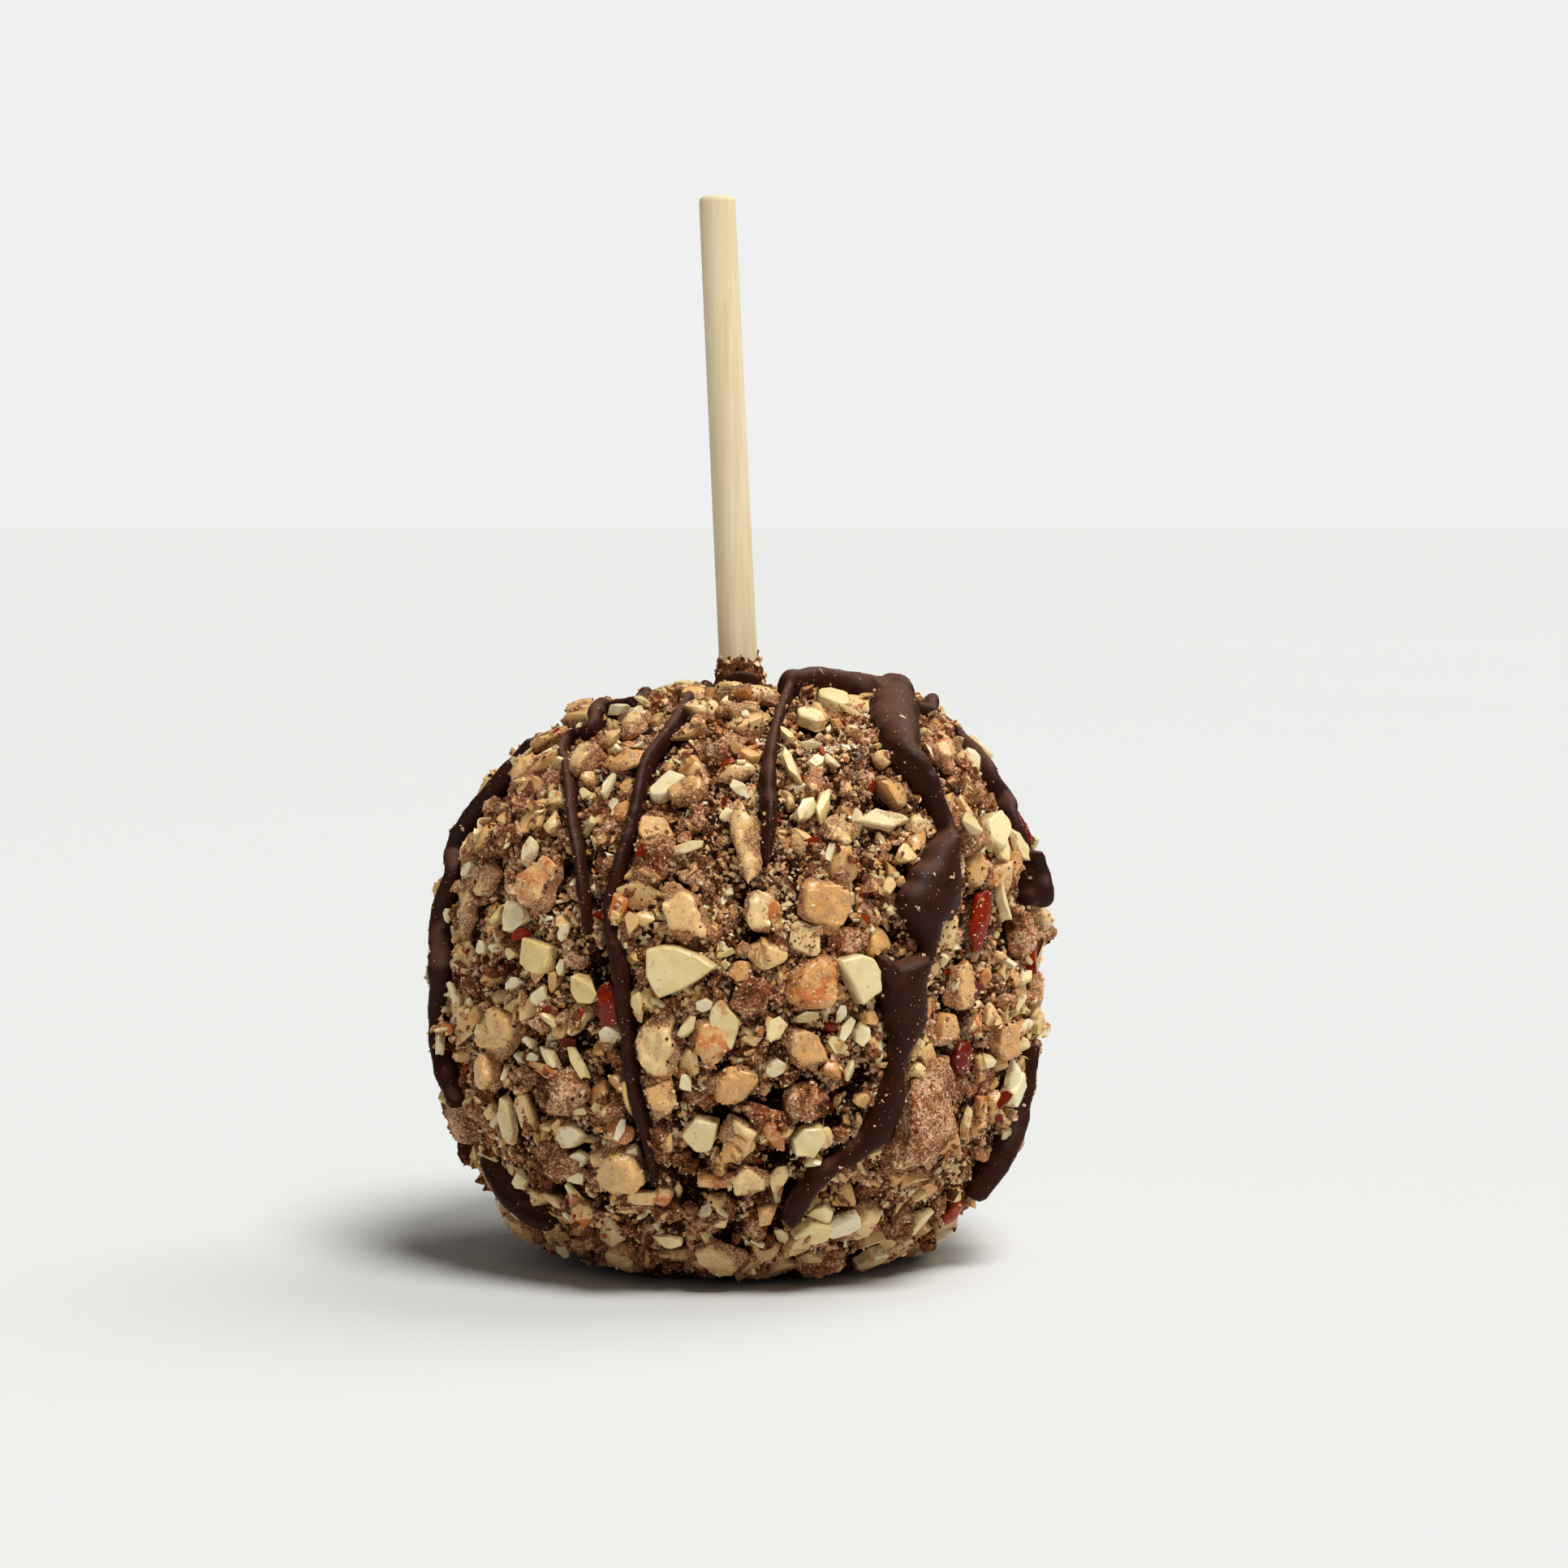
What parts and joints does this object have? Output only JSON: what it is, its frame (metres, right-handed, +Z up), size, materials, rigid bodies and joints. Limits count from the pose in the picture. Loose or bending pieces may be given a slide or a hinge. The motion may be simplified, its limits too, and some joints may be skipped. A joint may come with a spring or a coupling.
{
  "type": "caramel apple",
  "caption": "Caramel apple on a wooden stick: a round apple coated in toffee and almond pieces with dark chocolate drizzle, standing on its flat base.",
  "frame": {"origin": "middle of the flat foot that the coated apple stands on", "axes": "+Z up along the stick's general direction, -Y towards the front as pictured, +X to the right as seen from the front"},
  "size_m": [0.0916, 0.091, 0.1543],
  "materials": {
    "crumb_coat": null,
    "wood": "smooth unvarnished birch",
    "toffee": "dusty tan toffee; edible",
    "almond": "pale chopped almond; edible",
    "cocoa_crumb": "crumbly cocoa-dusted toffee; edible",
    "almond_skin": "glossy red-brown; edible",
    "dark_chocolate": "satin dark chocolate; edible"
  },
  "bodies": {
    "root": {"coated_apple": "crumb_coat", "stick": "wood"}
  },
  "joints": []
}
